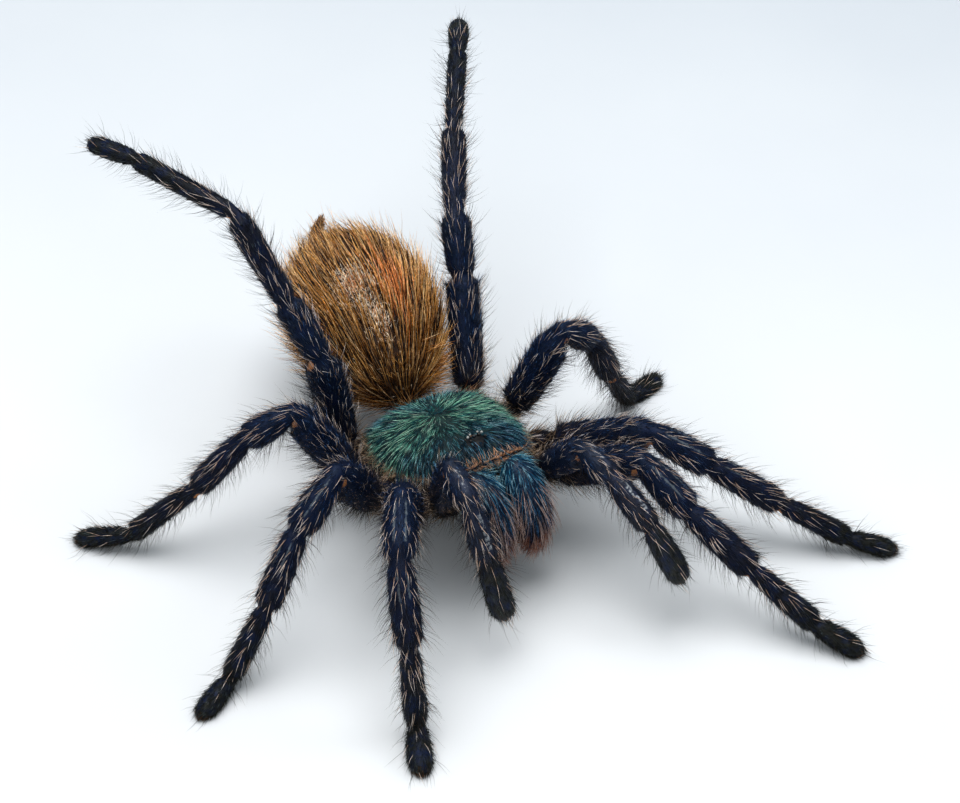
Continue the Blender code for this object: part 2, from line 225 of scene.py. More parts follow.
SPINNERET_HAIR = {
    "pile": (700, 0.8, 0.035, (28, 14), 12, 0, 2, 1),
}
JAW_HAIR = {
    "pile": (3200, 1.3, 0.045, (18, 5), 9, 14, 1, 1),
    "blue": (900, 2.4, 0.05, (18, 5), 8, 14, 2, 1),
    "pale": (300, 4.2, 0.048, (28, 6), 10, 10, 3, 2),
    "red": (460, 2.6, 0.04, (38, 20), 18, 14, 3, 3),
}

# Patches on the abdomen: their place along and round it, and half their size, as shares and degrees.
BALD_PATCH = ((0.46, 75), (0.1, 14))
BALD_TAIL = ((0.28, 80), (0.1, 8))
BALD_MIDDLE = ((0.46, 75), (0.05, 7))
RUST_PATCH = ((0.35, 105), (0.15, 12))
# Where the hair of the abdomen and its patches stand in the colours of the zones.
GOLD_ZONE = 0.5
RUST_ZONE = 0.7

# Lights: place and aim in metres, diameter, power and colour.
LIGHTS = {
    "overhead": ((0.0, 0.08, 0.5), (0, 0, 0), 0.52, 2.55, (1.0, 0.99, 0.98)),
    "front": ((-0.34, -0.42, 0.38), (-0.02, 0, 0.01), 0.42, 0.75, (1.0, 0.99, 0.98)),
    "side": ((0.42, -0.12, 0.36), (0, 0, 0.01), 0.2, 0.35, (0.98, 0.99, 1.0)),
}
SKY_COLOUR = (0.86, 0.95, 1.0, 1.0)
SKY_STRENGTH = 0.34
FLOOR_SIZE = 3.0
# Floor colours by distance: darker and bluer toward the back and the specimen's left, painted shade of the
# lights' falloff.
FLOOR_SHADE_COLOURS = [(0.0, 0.745, 0.755, 0.765), (0.45, 0.7, 0.72, 0.74), (1.0, 0.53, 0.565, 0.605)]

# The camera's heading and lift, and its place to the right, up and back from the carapace's middle.
CAMERA_HEADING = -27.0
CAMERA_LIFT = 42.0
CAMERA_OFFSET = (4.714, 4.929, 457.14)
CAMERA_LENS = 120.0
SENSOR_WIDTH = 36.0


def dots(first, second):
    return np.einsum("ij,ij->i", first, second)


def unit(vectors):
    return vectors / np.maximum(np.linalg.norm(vectors, axis=-1, keepdims=True), 1e-12)


def direction(heading, lift):
    """Unit vector with this heading and lift."""
    h, s = radians(heading), radians(lift)
    return np.array((cos(h) * cos(s), sin(h) * cos(s), sin(s)))


def body_axes():
    """Left, forward and up of the carapace."""
    pitch, yaw = radians(BODY_PITCH), radians(BODY_YAW)
    left = np.array((cos(yaw), sin(yaw), 0.0))
    forward = np.array((sin(yaw) * cos(pitch), -cos(yaw) * cos(pitch), sin(pitch)))
    return left, forward, np.cross(forward, left)


def on_body(points, side=1):
    """Points given as (to the side, forward, up) from the carapace's middle."""
    left, forward, up = body_axes()
    points = np.asarray(points, float)
    return BODY_CENTRE + side * points[..., :1] * left + points[..., 1:2] * forward + points[..., 2:3] * up


def rise(value, low, high):
    t = np.clip((value - low) / (high - low), 0.0, 1.0)
    return t * t * (3 - 2 * t)


def hump(value, start, full, fading, gone):
    """Rises from 0 at start to 1 at full, and falls from fading to gone."""
    return rise(value, start, full) * (1 - rise(value, fading, gone))


def curve(points, count):
    """Points on a smooth curve through the given ones. The first and the last one only guide it."""
    along = np.linspace(0, len(points) - 3, count + 1)
    k = np.minimum(along.astype(int), len(points) - 4)
    t = (along - k)[:, None]
    a, b, c, d = points[k], points[k + 1], points[k + 2], points[k + 3]
    cubic = (3 * b - a - 3 * c + d) * t ** 3
    return 0.5 * (2 * b + (c - a) * t + (2 * a - 5 * b + 4 * c - d) * t ** 2 + cubic)


def rings_across(centres, alongs, widths, heights, sides):
    """Oval rings across a line, their widths level. The turn round a ring starts on the left and goes up."""
    alongs = unit(alongs)
    heading = np.arctan2(alongs[:, 1], alongs[:, 0])
    level = np.stack([-np.sin(heading), np.cos(heading), np.zeros_like(heading)], axis=1)
    upright = unit(np.cross(alongs, level))
    turn = np.arange(sides) * 2 * pi / sides
    return (centres[:, None] + level[:, None] * (widths[:, None] * np.cos(turn))[..., None]
            + upright[:, None] * (heights[:, None] * np.sin(turn))[..., None])


def wander(points, scale, phase=0.0):
    """A smooth field between about -1 and 1 that wanders over a length of about scale."""
    p = np.asarray(points) * (2 * pi / scale)
    x, y, z = p[..., 0], p[..., 1], p[..., 2]
    a = np.sin(x * 0.9 + y * 0.5 + phase) + np.sin(y * 0.8 - z * 0.7 + 2.1 * phase)
    b = np.sin(z * 1.1 + x * 0.4 + 1.3 + phase) + np.sin(x * 0.7 - y * 0.9 + 0.7)
    return (a + b) / 3


class Surface:
    """A closed skin made of rings of points, which hair can grow from.

    reach is one number per ring, which tells the materials how far along the limb or body it is.
    """

    def __init__(self, grid, reach):
        self.grid = grid
        self.reach = np.asarray(reach, float)
        self.rows, self.sides = grid.shape[:2]

    def mesh(self, mark=None, line_highlight=None):
        """Points, triangles and paint values of the skin, closed at both ends.

        Functions of (reach, turn, points) give the first paint value, for bare lines that get a painted
        highlight, and the second, for marks.
        """
        rows, sides = self.rows, self.sides
        start, end = self.grid[0].mean(axis=0), self.grid[-1].mean(axis=0)
        points = np.concatenate([self.grid.reshape(-1, 3), [start, end]])
        row = np.arange(rows - 1)[:, None] * sides
        side = np.arange(sides)
        after = (side + 1) % sides
        a, b = (row + side).ravel(), (row + after).ravel()
        c, d = a + sides, b + sides
        pole = np.full(sides, rows * sides)
        last = (rows - 1) * sides
        faces = np.concatenate([
            np.stack([a, b, d], axis=1), np.stack([a, d, c], axis=1),
            np.stack([pole, after, side], axis=1), np.stack([pole + 1, last + side, last + after], axis=1),
        ])
        corners = points[faces]
        volume = dots(corners[:, 0], np.cross(corners[:, 1], corners[:, 2])).sum()
        if volume < 0:
            faces = faces[:, ::-1]
        paint = np.zeros((len(points), 3))
        paint[:-2, 2] = np.repeat(self.reach, sides)
        paint[-2:, 2] = self.reach[[0, -1]]
        turns = np.tile(side * 2 * pi / sides, rows)
        for column, value in ((0, line_highlight), (1, mark)):
            if value is not None:
                paint[:-2, column] = value(paint[:-2, 2], turns, points[:-2])
        points[:, 2] = np.maximum(points[:, 2], FLOOR_GAP)
        return points, faces, paint

    def places(self, rng, count, weight=None):
        """Random places, spread evenly by area or by area times weight(reach, turn, points)."""
        grid = self.grid
        beside = np.roll(grid, -1, axis=1)
        p00, p10, p01, p11 = grid[:-1], grid[1:], beside[:-1], beside[1:]
        area = np.linalg.norm(np.cross(p11 - p00, p01 - p10), axis=-1)
        if weight is not None:
            middle_reach = np.repeat(((self.reach[1:] + self.reach[:-1]) / 2)[:, None], self.sides, axis=1)
            middle_turn = np.tile((np.arange(self.sides) + 0.5) * 2 * pi / self.sides, (self.rows - 1, 1))
            area = area * weight(middle_reach, middle_turn, (p00 + p11) / 2)
        cells = rng.choice(area.size, size=count, p=(area / area.sum()).ravel())
        r, s = cells // self.sides, cells % self.sides
        u, v = rng.random((count, 1)), rng.random((count, 1))
        a, b, c, d = p00[r, s], p10[r, s], p01[r, s], p11[r, s]
        point = a * (1 - u) * (1 - v) + b * u * (1 - v) + c * (1 - u) * v + d * u * v
        along = unit((b - a) * (1 - v) + (d - c) * v)
        around = unit((c - a) * (1 - u) + (d - b) * u)
        normal = unit(np.cross(around, along))
        if dots(normal, point - grid.reshape(-1, 3).mean(axis=0)).mean() < 0:
            normal = -normal
        reach = self.reach[r] * (1 - u[:, 0]) + self.reach[r + 1] * u[:, 0]
        turn = (s + v[:, 0]) * 2 * pi / self.sides
        return dict(count=count, point=point, along=along, normal=normal, reach=reach, turn=turn)


def hairs(rng, place, length, radius, lifts, spread, clump, rings, material, lay=None, droop=0.0, vary=0.3,
          tint=None, zone=None):
    """Tapered hairs, each a closed spike of three sides.

    lay is the direction that they lie in, along the surface, lifts are the angles from the surface at the
    root and at the tip, spread is how much single hairs turn aside, and clump how much tufts of them do.
    """
    normal, point, count = place["normal"], place["point"], place["count"]
    lay = place["along"] if lay is None else lay
    if np.ndim(lay) == 1:
        lay = np.tile(lay, (count, 1))
    lay = unit(lay - normal * dots(lay, normal)[:, None])
    aside = np.radians(rng.normal(0.0, spread, count) + clump * wander(point, 3.1, 0.4))[:, None]
    jitter = rng.normal(0.0, LIFT_JITTER, count) + 0.4 * clump * wander(point, 2.3, 2.0)
    lay = lay * np.cos(aside) + np.cross(normal, lay) * np.sin(aside)
    root_lift = np.radians(np.clip(lifts[0] + jitter, 4, 88))[:, None]
    tip_lift = np.radians(lifts[1] + jitter)[:, None]
    start = lay * np.cos(root_lift) + normal * np.sin(root_lift)
    end = unit(lay * np.cos(tip_lift) + normal * np.sin(tip_lift) - np.array((0.0, 0.0, droop)))
    size = (length * (1 + vary * rng.uniform(-1, 1, count)))[:, None]
    root = point - normal * ROOT_DEPTH
    across = unit(np.cross(start, rng.normal(size=(count, 3))))
    rows = []
    for k in range(rings):
        t = k / rings
        centre = root + size * (start * (t - t * t / 2) + end * (t * t / 2))
        girth = radius * (1 - t) ** TAPER
        tangent = unit(start * (1 - t) + end * t)
        first = unit(across - tangent * dots(across, tangent)[:, None])
        second = np.cross(tangent, first)
        for corner in range(3):
            turn = corner * 2 * pi / 3
            rows.append(centre + girth * (first * cos(turn) + second * sin(turn)))
    rows.append(root + size * (start + end) / 2)
    points = np.stack(rows, axis=1)
    points[..., 2] = np.maximum(points[..., 2], FLOOR_GAP)
    one = [(0, 2, 1)]
    for k in range(rings - 1):
        low, high = 3 * k, 3 * k + 3
        for i, j in ((0, 1), (1, 2), (2, 0)):
            one += [(low + i, low + j, high + j), (low + i, high + j, high + i)]
    top = 3 * (rings - 1)
    one += [(top, top + 1, 3 * rings), (top + 1, top + 2, 3 * rings), (top + 2, top, 3 * rings)]
    per_hair = 3 * rings + 1
    faces = (np.arange(count)[:, None, None] * per_hair + np.array(one)[None]).reshape(-1, 3)
    tint = rng.random(count) if tint is None else tint
    zone = np.broadcast_to(place["reach"] if zone is None else zone, count)
    tips = np.append(np.repeat(np.arange(rings) / rings, 3), 1.0)
    paint = np.stack([
        np.repeat(tint, per_hair), np.tile(tips, count), np.repeat(zone, per_hair),
    ], axis=1)
    return points.reshape(-1, 3), faces, paint, material


def new_object(name, data):
    thing = bpy.data.objects.new(name, data)
    bpy.context.scene.collection.objects.link(thing)
    return thing


class Coat:
    """A skin and the layers of hair on it, as the parts of one piece."""

    def __init__(self, rng, surface, layers, mark=None, line_highlight=None, share=1.0):
        self.rng, self.surface, self.layers, self.share = rng, surface, layers, share
        self.parts = [(*surface.mesh(mark, line_highlight), 0)]

    def grow(self, layer, weight=None, lay=None, zone=None, tint=None, **ways):
        """Hair of a layer, spread by weight(reach, turn, points).

        lay, zone and tint are values or functions of the places, and tint can be a range for random values.
        """
        count, *looks = self.layers[layer]
        place = self.surface.places(self.rng, int(count * self.share), weight)
        lay = lay(place) if callable(lay) else lay
        zone = zone(place) if callable(zone) else zone
        if isinstance(tint, tuple):
            tint = tint[0] + (tint[1] - tint[0]) * self.rng.random(place["count"])
        elif callable(tint):
            tint = tint(place)
        self.parts.append(hairs(self.rng, place, *looks, lay=lay, zone=zone, tint=tint, **ways))


def make_piece(node, parts, materials):
    """One object of several parts, each of (points in millimetres, triangles, paint, material's index)."""
    name = node + "_dressed"
    points, faces, paints, slots, offset = [], [], [], [], 0
    for part_points, part_faces, part_paint, index in parts:
        points.append(part_points)
        faces.append(part_faces + offset)
        paints.append(part_paint)
        slots.append(np.full(len(part_faces), index))
        offset += len(part_points)
    points, faces, paints = np.concatenate(points), np.concatenate(faces), np.concatenate(paints)
    mesh = bpy.data.meshes.new(name)
    mesh.vertices.add(len(points))
    mesh.vertices.foreach_set("co", (points * MM).astype(np.float32).ravel())
    mesh.loops.add(faces.size)
    mesh.loops.foreach_set("vertex_index", faces.astype(np.int32).ravel())
    mesh.polygons.add(len(faces))
    mesh.polygons.foreach_set("loop_start", np.arange(0, faces.size, 3, dtype=np.int32))
    mesh.polygons.foreach_set("material_index", np.concatenate(slots).astype(np.int32))
    mesh.update(calc_edges=True)
    mesh.shade_smooth()
    paint = mesh.attributes.new("paint", "FLOAT_VECTOR", "POINT")
    paint.data.foreach_set("vector", paints.astype(np.float32).ravel())
    for material in materials:
        mesh.materials.append(bpy.data.materials[material])
    piece = new_object(name, mesh)
    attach(piece, "root")
    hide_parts(node)


# Materials

BLACK = (0, 0, 0)
WHITE = (1, 1, 1)


class Painter:
    """A new material, its shader, and the nodes that are added to it."""

    def __init__(self, name):
        self.material = bpy.data.materials.new(name)
        self.material.use_nodes = True
        self.nodes, self.links = self.material.node_tree.nodes, self.material.node_tree.links
        self.shader = self.nodes["Principled BSDF"].inputs

    def feed(self, socket, value):
        """Set a socket to a number or colour, or link it."""
        if isinstance(value, bpy.types.NodeSocket):
            self.links.new(value, socket)
        else:
            socket.default_value = (*value, 1.0) if isinstance(value, tuple) else value

    def split(self, source):
        node = self.nodes.new("ShaderNodeSeparateXYZ")
        self.links.new(source, node.inputs[0])
        return node.outputs

    def paint(self):
        """The three values painted on the mesh."""
        node = self.nodes.new("ShaderNodeAttribute")
        node.attribute_name = "paint"
        return self.split(node.outputs["Vector"])

    def place(self):
        return self.nodes.new("ShaderNodeTexCoord").outputs["Object"]

    def ramp(self, source, stops):
        """Colour ramp from stops of (position, red, green, blue)."""
        node = self.nodes.new("ShaderNodeValToRGB")
        elements = node.color_ramp.elements
        while len(elements) < len(stops):
            elements.new(0.5)
        for element, (position, *colour) in zip(elements, stops):
            element.position = position
            element.color = (*colour, 1.0)
        self.links.new(source, node.inputs[0])
        return node.outputs[0]

    def mask(self, source, low, high):
        return self.ramp(source, [(low, *BLACK), (high, *WHITE)])

    def blend(self, share, first, second, mode="MIX"):
        """Two colours mixed, by a share that is a number or a socket."""
        node = self.nodes.new("ShaderNodeMix")
        node.data_type = "RGBA"
        node.blend_type = mode
        for index, value in ((0, share), (6, first), (7, second)):
            self.feed(node.inputs[index], value)
        return node.outputs[2]

    def compute(self, operation, *values):
        node = self.nodes.new("ShaderNodeMath")
        node.operation = operation
        for socket, value in zip(node.inputs, values):
            self.feed(socket, value)
        return node.outputs[0]

    def noise(self, scale, detail=3.0):
        """Noise in the object's own space. scale is in cycles per millimetre."""
        node = self.nodes.new("ShaderNodeTexNoise")
        node.inputs["Scale"].default_value = scale / MM
        node.inputs["Detail"].default_value = detail
        self.links.new(self.place(), node.inputs["Vector"])
        return node.outputs[0]

    def ragged(self, value, scale, amount):
        """The value with noise of this amount added round zero."""
        noise = self.compute("MULTIPLY_ADD", self.noise(scale), amount, -amount / 2)
        return self.compute("ADD", value, noise)

    def finish(self, colour, roughness, metallic, specular):
        self.feed(self.shader["Base Color"], colour)
        self.feed(self.shader["Roughness"], roughness)
        self.feed(self.shader["Metallic"], metallic)
        self.feed(self.shader["Specular IOR Level"], specular)
        return self.material

    def add_bump(self, height, distance, strength=1.0):
        bump = self.nodes.new("ShaderNodeBump")
        bump.inputs["Strength"].default_value = strength
        bump.inputs["Distance"].default_value = distance * MM
        self.links.new(height, bump.inputs["Height"])
        self.links.new(bump.outputs[0], self.shader["Normal"])


def skin_material(name, stops, mottle, roughness, metallic=0.0, grain=6.0, bump=0.05, marked=None,
                  line_highlight_colour=None, specular=0.5):
    """Cuticle: a colour ramp along the body, mottled and finely pitted, with another colour where the paint
    has marks, and a pale colour and less roughness where it has stripes, a painted highlight."""
    painter = Painter(name)
    line_highlight, mark, reach = painter.paint()
    colour = painter.ramp(reach, stops)
    colour = painter.blend(painter.mask(painter.noise(0.7), 0.42, 0.68), colour, mottle)
    fine = painter.noise(grain, 4.0)
    rough = painter.compute("MULTIPLY_ADD", fine, 0.3, roughness - 0.15)
    if marked is not None:
        colour = painter.blend(painter.mask(painter.ragged(mark, 1.6, 0.7), 0.42, 0.62), colour, marked)
    # Stripes: a pale colour and less roughness on the bare lines, a painted highlight.
    if line_highlight_colour is not None:
        shine = painter.mask(painter.ragged(line_highlight, 2.2, 1.1), 0.4, 0.75)
        colour = painter.blend(shine, colour, line_highlight_colour)
        rough = painter.compute("MULTIPLY_ADD", shine, -0.12, rough)
    painter.add_bump(fine, bump)
    painter.finish(colour, rough, metallic, specular)


def hair_material(name, root_stops, tip_stops, roughness=0.4, metallic=0.0, by_zone=None, specular=0.5):
    """Hair: colours by each hair's own tint, from root to tip, multiplied by a colour ramp over the zone."""
    painter = Painter(name)
    tint, tip, zone = painter.paint()
    colour = painter.blend(tip, painter.ramp(tint, root_stops), painter.ramp(tint, tip_stops))
    if by_zone is not None:
        colour = painter.blend(1.0, colour, painter.ramp(zone, by_zone), "MULTIPLY")
    bands = painter.noise(2.5, 2.0)
    shade = painter.ramp(bands, [(0.3, 0.6, 0.6, 0.6), (0.7, 1.25, 1.25, 1.25)])
    colour = painter.blend(1.0, colour, shade, "MULTIPLY")
    rough = painter.compute("MULTIPLY_ADD", bands, 0.2, roughness - 0.1)
    painter.finish(colour, rough, metallic, specular)


def even(*colours):
    """Colour stops at equal distances."""
    return [(i / (len(colours) - 1), *colour) for i, colour in enumerate(colours)]


LIMB_COLOURS = [
    (0.0, 0.03, 0.02, 0.014), (0.17, 0.022, 0.018, 0.018), (0.24, 0.004, 0.012, 0.034),
    (0.42, 0.004, 0.013, 0.036), (0.55, 0.007, 0.01, 0.026), (0.68, 0.008, 0.009, 0.016),
    (0.82, 0.012, 0.013, 0.013), (1.0, 0.022, 0.023, 0.018),
]
FUR_TINTS = [
    (0.0, 1.8, 1.1, 0.7), (0.17, 1.0, 0.85, 0.8), (0.26, 0.8, 1.5, 2.3), (0.42, 0.8, 1.4, 2.1),
    (0.55, 0.95, 1.12, 1.4), (0.68, 0.9, 0.9, 0.9), (0.82, 1.3, 1.2, 0.9), (1.0, 2.0, 1.7, 1.0),
]
LIMB_MOTTLE = (0.006, 0.014, 0.045)
MEMBRANE_COLOUR = (0.5, 0.22, 0.09)

# Skins: colours along the body and of the mottles, roughness, metallic, grain and bump.
# On limbs and pedipalps the colour given for stripes is a painted highlight on the bare lines.
skin_material("limb_skin", LIMB_COLOURS, LIMB_MOTTLE, 0.5, 0.2, marked=MEMBRANE_COLOUR,
    line_highlight_colour=(0.1, 0.12, 0.14), specular=0.2)
skin_material("palp_skin", LIMB_COLOURS, LIMB_MOTTLE, 0.5, 0.2, marked=MEMBRANE_COLOUR,
    line_highlight_colour=(0.44, 0.47, 0.49))
skin_material("carapace_skin",
    [(0.0, 0.003, 0.016, 0.017), (0.62, 0.003, 0.014, 0.015), (1.0, 0.01, 0.01, 0.01)],
    (0.004, 0.03, 0.028), 0.65, marked=(0.003, 0.003, 0.004))
skin_material("eye_dark", even((0.004, 0.004, 0.004), (0.006, 0.006, 0.006)), (0.008, 0.008, 0.01), 0.15,
    0.0, 1.0, 0.0)
# Pale eyes: a whitish colour painted as glints on the mound.
skin_material("eye_painted_glint", even((0.45, 0.46, 0.44), (0.5, 0.5, 0.48)), (0.3, 0.31, 0.3), 0.18, 0.0, 1.0,
    0.0)
skin_material("jaw_skin",
    [(0.0, 0.003, 0.03, 0.06), (0.35, 0.003, 0.02, 0.05), (0.6, 0.003, 0.006, 0.02),
     (1.0, 0.01, 0.007, 0.007)], (0.004, 0.01, 0.03), 0.4, 0.1)
skin_material("fang_skin", even((0.012, 0.006, 0.005), (0.004, 0.003, 0.003)), (0.02, 0.006, 0.004), 0.2,
    0.0, 3.0, 0.01)
skin_material("abdomen_skin", even((0.016, 0.008, 0.004), (0.03, 0.014, 0.006)), (0.06, 0.025, 0.01), 0.6)
# Hair: colours at the root and at the tip, roughness, metallic, multipliers by zone and specular.
# Limb fur: the highest tints end in pale blue-grey tips, painted glints.
hair_material("limb_fur", even((0.003, 0.004, 0.008), (0.008, 0.014, 0.028)),
    [(0.0, 0.004, 0.006, 0.011), (0.55, 0.009, 0.015, 0.03), (0.85, 0.035, 0.06, 0.11),
     (1.0, 0.2, 0.27, 0.38)], 0.3, 0.1, FUR_TINTS, 0.25)
hair_material("limb_setae", even((0.008, 0.007, 0.008), (0.02, 0.015, 0.014)),
    [(0.0, 0.02, 0.015, 0.014), (0.7, 0.05, 0.036, 0.03), (1.0, 0.2, 0.14, 0.11)], 0.45, specular=0.2)
hair_material("pale_hair", even((0.4, 0.24, 0.17), (0.75, 0.58, 0.48)),
    [(0.0, 0.8, 0.58, 0.42), (0.4, 0.95, 0.83, 0.74), (1.0, 1.0, 0.97, 0.95)], 0.26)
hair_material("tan_hair", even((0.06, 0.035, 0.02), (0.2, 0.11, 0.06)),
    [(0.0, 0.12, 0.07, 0.04), (0.4, 0.56, 0.36, 0.2), (0.7, 0.86, 0.63, 0.4), (1.0, 0.95, 0.84, 0.68)],
    0.35)
hair_material("pad_hair", even((0.01, 0.01, 0.008), (0.02, 0.02, 0.015)),
    even((0.03, 0.03, 0.02), (0.075, 0.072, 0.045)), 0.6, 0.0,
    [(0.0, *WHITE), (0.975, *WHITE), (1.0, 6.0, 3.0, 2.0)], 0.2)
# Carapace hair: the brightest tints end in near-white tips, painted highlights on the strands.
hair_material("carapace_hair",
    [(0.0, 0.003, 0.018, 0.026), (0.6, 0.006, 0.055, 0.06), (1.0, 0.16, 0.52, 0.44)],
    [(0.0, 0.005, 0.045, 0.08), (0.45, 0.025, 0.2, 0.24), (0.7, 0.2, 0.7, 0.56), (0.85, 0.55, 1.0, 0.8),
     (1.0, 0.95, 1.0, 0.95)], 0.22, 0.1,
    [(0.0, 0.55, 0.7, 1.0), (0.3, 1.1, 1.1, 0.95), (0.55, 1.05, 1.05, 0.98), (0.75, 0.62, 0.72, 0.95),
     (1.0, 0.42, 0.55, 0.9)], 0.6)
hair_material("fringe_hair", even((0.08, 0.03, 0.015), (0.5, 0.25, 0.13)),
    [(0.0, 0.2, 0.07, 0.02), (0.35, 0.75, 0.33, 0.13), (0.7, 0.98, 0.62, 0.4), (1.0, 1.0, 0.8, 0.64)])
hair_material("jaw_fur", even((0.003, 0.012, 0.03), (0.008, 0.05, 0.1)),
    [(0.0, 0.003, 0.012, 0.035), (0.35, 0.006, 0.04, 0.11), (0.65, 0.015, 0.2, 0.4),
     (0.85, 0.1, 0.55, 0.8), (1.0, 0.55, 0.9, 1.0)], 0.26, 0.2,
    [(0.0, 1.2, 1.3, 1.2), (0.35, 1.0, 1.0, 1.1), (0.6, 1.0, 0.6, 0.8), (1.0, 1.5, 0.5, 0.4)], 0.35)
hair_material("jaw_hair", even((0.04, 0.03, 0.04), (0.3, 0.2, 0.18)),
    even((0.3, 0.18, 0.14), (0.72, 0.48, 0.4), (0.95, 0.8, 0.74)), 0.3)
hair_material("red_hair", even((0.1, 0.03, 0.015), (0.18, 0.06, 0.03)),
    even((0.28, 0.09, 0.05), (0.5, 0.24, 0.16)), 0.45)
# Abdomen zones: 0.1 dark, 0.3 brown, 0.5 gold and 0.7 rust.
hair_material("gold_hair", [(0.0, 0.01, 0.005, 0.003), (0.4, 0.06, 0.025, 0.008), (1.0, 0.75, 0.36, 0.1)],
    [(0.0, 0.016, 0.008, 0.004), (0.3, 0.12, 0.04, 0.008), (0.5, 0.95, 0.44, 0.08),
     (0.75, 1.0, 0.7, 0.28), (1.0, 1.0, 0.92, 0.66)], 0.26, 0.0,
    [(0.0, 0.2, 0.16, 0.14), (0.3, 0.6, 0.5, 0.45), (0.5, 1.1, 1.0, 0.9), (0.62, 1.2, 0.95, 0.8),
     (0.7, 1.3, 0.78, 0.62)], 0.5)
hair_material("bald_hair", even((0.16, 0.05, 0.02), (0.5, 0.36, 0.26), (0.85, 0.74, 0.62)),
    [(0.0, 0.7, 0.24, 0.07), (0.35, 0.9, 0.36, 0.12), (0.6, 0.98, 0.76, 0.5), (1.0, 1.0, 0.95, 0.85)],
    0.35)


# Limbs

def limb_stations(name, base, headings, lifts):
    """Rows of (centre, direction, half width, half height, reach) along a limb."""
    kind, side = name.rsplit("_", 1)
    sign = 1 if side == "left" else -1
    lengths = SEGMENT_LENGTHS.get(name) or SEGMENT_LENGTHS[kind]
    joints = [on_body(COXAE[kind], sign), on_body(base, sign)]
    for length, heading, lift in zip(lengths, headings, lifts):
        joints.append(joints[-1] + length * direction(heading, lift))
    if len(lifts) < len(headings):
        lift = degrees(asin((FOOT_HEIGHT - joints[-1][2]) / lengths[-1]))
        joints.append(joints[-1] + lengths[-1] * direction(headings[-1], lift))
    widths = SEGMENT_HALF_WIDTHS[kind]
    heights = SEGMENT_HEIGHTS[:len(widths) - 1] + SEGMENT_HEIGHTS[-1:]
    sizes = [(COXA_HALF_WIDTH, COXA_HALF_HEIGHT)] + [(w, w * h) for w, h in zip(widths, heights)]
    places = PALP_SEGMENTS if kind == "pedipalp" else range(int(SEGMENTS))
    runs = [unit(b - a) for a, b in zip(joints, joints[1:])]
    rows = [(*joints[0], *runs[0], 0.75 * sizes[0][0], 0.75 * sizes[0][1], 0.0)]
    for k, (start, end) in enumerate(zip(joints, joints[1:])):
        run, length = runs[k], np.linalg.norm(end - start)
        width, height = sizes[k]

        def clearance(other):
            """How far from a joint the first full ring can stand without crossing the joint's ring."""
            bend = acos(min(1.0, float(run @ other)))
            return JOINT_CLEARANCE + 0.9 * height * tan(bend / 2)

        def add(distance, girth):
            share = distance / length
            rows.append((*(start + run * distance), *run, girth * width, girth * height, places[k] + share))

        first = 0.7 if k == 0 else clearance(runs[k - 1])
        last = k == len(runs) - 1
        back = 2.0 if last else clearance(runs[k + 1])
        add(first, 0.93)
        for share, girth in ((0.2, 0.97), (0.35, 1.0), (0.55, 1.03), (0.75, 1.03)):
            if first + 0.6 < share * length < length - back - 0.6:
                add(share * length, girth)
        if last:
            for distance, girth in ((2.0, 1.02), (0.9, 0.88), (0.35, 0.66), (0.1, 0.4), (0.0, 0.2)):
                add(length - distance, girth)
            continue
        add(length - back, 1.0)
        waist = JOINT_GIRTH * min(width, sizes[k + 1][0]), JOINT_GIRTH * min(height, sizes[k + 1][1])
        rows.append((*end, *unit(run + runs[k + 1]), *waist, places[k] + 1.0))
    return np.array(rows)


def fill_in(rows, spacing):
    """More stations between these, about spacing apart, with the girths eased between them."""
    filled = []
    for a, b in zip(rows, rows[1:]):
        steps = max(2, int(ceil(np.linalg.norm(b[:3] - a[:3]) / spacing)))
        for i in range(steps):
            t = i / steps
            row = a * (1 - t) + b * t
            eased = rise(t, 0, 1)
            row[6:8] = a[6:8] * (1 - eased) + b[6:8] * eased
            filled.append(row)
    filled.append(rows[-1])
    return np.array(filled)


def tube(rows, sides, inset):
    """Surface round a line of stations, a little inside their girth."""
    widths = np.maximum(rows[:, 6] - inset, 0.3 * rows[:, 6])
    heights = np.maximum(rows[:, 7] - inset, 0.3 * rows[:, 7])
    grid = rings_across(rows[:, :3], rows[:, 3:6], widths, heights, sides)
    return Surface(grid, rows[:, 8] / SEGMENTS)


def joint_distance(reach):
    """How far a place is from the nearest joint between segments, in segments."""
    segment = reach * SEGMENTS
    return np.abs(segment - np.clip(np.round(segment), 1, 5))


